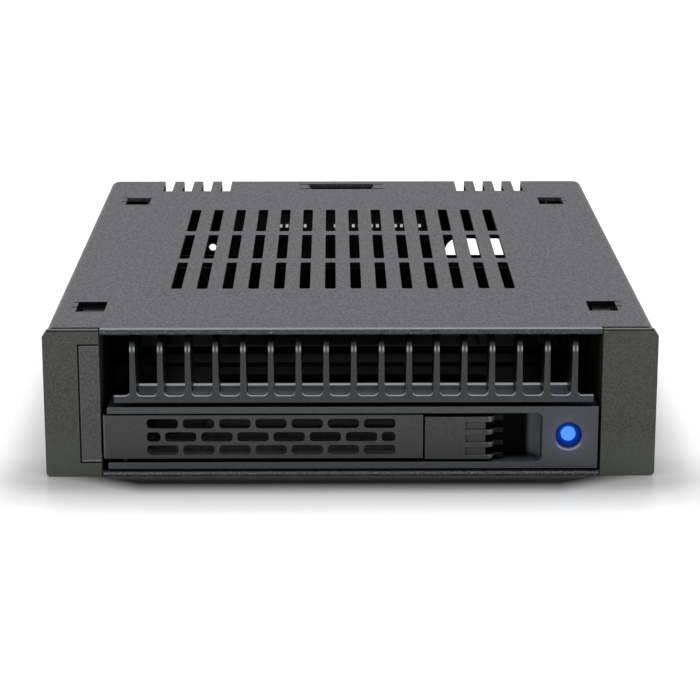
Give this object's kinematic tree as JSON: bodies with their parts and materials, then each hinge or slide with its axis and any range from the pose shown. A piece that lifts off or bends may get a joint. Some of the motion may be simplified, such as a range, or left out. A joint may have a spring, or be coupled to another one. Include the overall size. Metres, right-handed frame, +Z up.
{
  "type": "hot swap drive cage",
  "caption": "Flat metal bay cage with a vented cover, a finned front grille and a slide-out drive tray with a vented lever, a sliding latch and a round status light.",
  "frame": {"origin": "middle of the flat underside of the cage", "axes": "+X to the right seen from the front, +Y back into the bay, away from the front, +Z up"},
  "size_m": [0.1016, 0.125, 0.0254],
  "materials": {
    "case_paint": "fine powder coat",
    "ear_plastic": "fine spark texture",
    "grille_plastic": "satin",
    "tray_plastic": "satin",
    "lever_plastic": "fine texture",
    "latch_plastic": "satin",
    "inner_plastic": "satin",
    "plated_sheet": "satin black",
    "board_laminate": "solder mask",
    "connector_plastic": "moulded",
    "solder": "tinned",
    "led_chip": "clear",
    "can_metal": "satin",
    "black_screws": "black oxide",
    "lens": "lit blue lens",
    "pin_steel": "drawn"
  },
  "bodies": {
    "cage": {"top_cover": "case_paint", "bottom_pan": "case_paint", "left_bezel": "ear_plastic", "right_bezel": "ear_plastic", "bezel_insert": "ear_plastic", "fin_grille": "grille_plastic", "left_guide_rail": "inner_plastic", "right_guide_rail": "inner_plastic", "front_brace": "plated_sheet", "rear_brace": "plated_sheet", "backplane_board": "board_laminate", "drive_connector": "connector_plastic", "power_connector": "connector_plastic", "data_connector": "connector_plastic", "solder_pins": "solder", "board_led": "led_chip", "board_capacitors": "can_metal", "board_screws": "black_screws", "rail_screws": "black_screws", "brace_screws": "black_screws", "cover_screws": "black_screws"},
    "tray": {"tray_frame": "inner_plastic", "tray_bezel": "tray_plastic", "tray_screws": "black_screws", "light_pipe": "lens", "lever_pin": "pin_steel", "latch_spring": "pin_steel"},
    "lever": {"ejector_lever": "lever_plastic"},
    "latch": {"release_latch": "latch_plastic"}
  },
  "joints": [
    {"name": "tray_slide", "type": "slide", "parent": "cage", "child": "tray", "axis": [0, -1, 0], "range_m": [0, 0.11]},
    {"name": "lever_hinge", "type": "hinge", "parent": "tray", "child": "lever", "pos_m": [-0.0376, -0.06095, 0.0069], "axis": [0, 0, -1], "range_deg": [0, 90]},
    {"name": "latch_slide", "type": "slide", "parent": "tray", "child": "latch", "axis": [1, 0, 0], "range_m": [0, 0.0025], "stiffness_N_per_m": 150, "springref_m": -0.002, "deforming": ["latch_spring"]}
  ]
}
